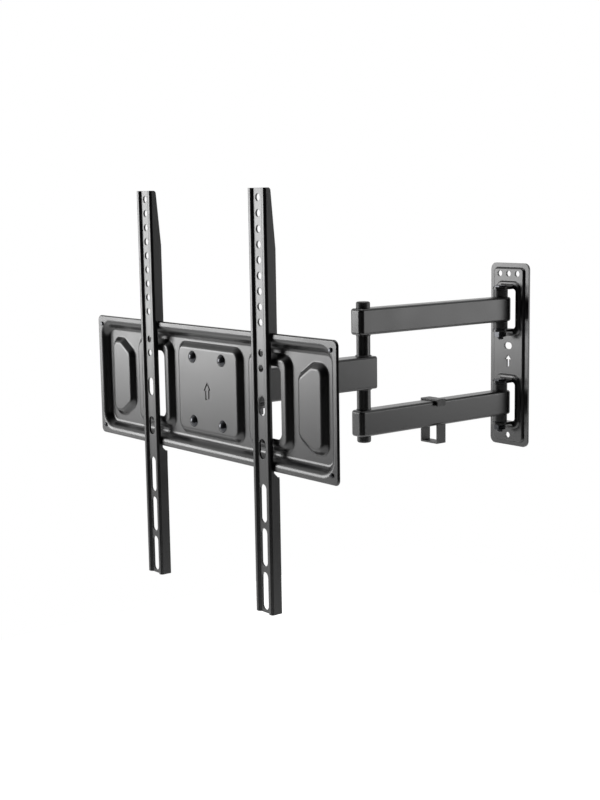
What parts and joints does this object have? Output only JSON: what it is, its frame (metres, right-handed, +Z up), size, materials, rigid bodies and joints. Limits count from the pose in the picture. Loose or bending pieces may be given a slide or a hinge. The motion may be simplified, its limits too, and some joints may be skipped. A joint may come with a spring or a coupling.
{
  "type": "full motion tv wall mount",
  "caption": "Articulated wall mount for a flat screen: pressed wall plate, twin arms on an elbow, a front arm, a swivelling and tilting screen plate, and sliding slotted rails.",
  "frame": {"origin": "centre of the wall plate's back, on the wall plane", "axes": "+X to the right seen from the room, +Y into the wall, +Z up"},
  "size_m": [0.424, 0.469, 0.42],
  "materials": {
    "black_powder_coat": "satin black powder coat on pressed steel",
    "black_zinc": "black zinc on steel fasteners",
    "black_plastic": "moulded black nylon"
  },
  "bodies": {
    "wall": {"wall_plate": "black_powder_coat", "upper_pivot_bolt": "black_zinc", "lower_pivot_bolt": "black_zinc", "pivot_nuts": "black_zinc", "pivot_washers": "black_zinc"},
    "wall_arm": {"upper_wall_arm": "black_powder_coat", "lower_wall_arm": "black_powder_coat", "pivot_collars": "black_plastic", "elbow_sleeves": "black_plastic", "elbow_bolt": "black_zinc", "elbow_nut": "black_zinc", "elbow_top_cap": "black_plastic", "elbow_bottom_cap": "black_plastic", "cable_clip": "black_plastic"},
    "front_arm": {"front_arm": "black_powder_coat", "elbow_hub": "black_powder_coat", "elbow_washers": "black_plastic", "swivel_bushes": "black_plastic"},
    "yoke": {"swivel_yoke": "black_powder_coat", "swivel_bolt": "black_zinc", "swivel_nut": "black_zinc", "tilt_bolt": "black_zinc", "tilt_clamp_bolt": "black_zinc", "tilt_nuts": "black_zinc", "tilt_washers": "black_plastic"},
    "head": {"screen_plate": "black_powder_coat", "tilt_bracket": "black_powder_coat", "plate_bolts": "black_zinc", "plate_nuts": "black_zinc", "rail_stops": "black_zinc"},
    "left_rail_set": {"left_rail": "black_powder_coat", "left_lock_bracket": "black_powder_coat", "left_lock_screw": "black_zinc"},
    "right_rail_set": {"right_rail": "black_powder_coat", "right_lock_bracket": "black_powder_coat", "right_lock_screw": "black_zinc"}
  },
  "joints": [
    {"name": "wall_swing", "type": "hinge", "parent": "wall", "child": "wall_arm", "pos_m": [0, -0.019, 0], "axis": [0, 0, 1], "range_deg": [-90, 90]},
    {"name": "elbow", "type": "hinge", "parent": "wall_arm", "child": "front_arm", "pos_m": [0, -0.245, 0], "axis": [0, 0, -1], "range_deg": [-135, 135]},
    {"name": "head_swivel", "type": "hinge", "parent": "front_arm", "child": "yoke", "pos_m": [0, -0.401, 0], "axis": [0, 0, 1], "range_deg": [-70, 70]},
    {"name": "head_tilt", "type": "hinge", "parent": "yoke", "child": "head", "pos_m": [0, -0.434, 0.014], "axis": [1, 0, 0], "range_deg": [-5, 12]},
    {"name": "left_rail_slide", "type": "slide", "parent": "head", "child": "left_rail_set", "axis": [1, 0, 0], "range_m": [-0.085, 0.05]},
    {"name": "right_rail_slide", "type": "slide", "parent": "head", "child": "right_rail_set", "axis": [1, 0, 0], "range_m": [-0.05, 0.085]}
  ]
}
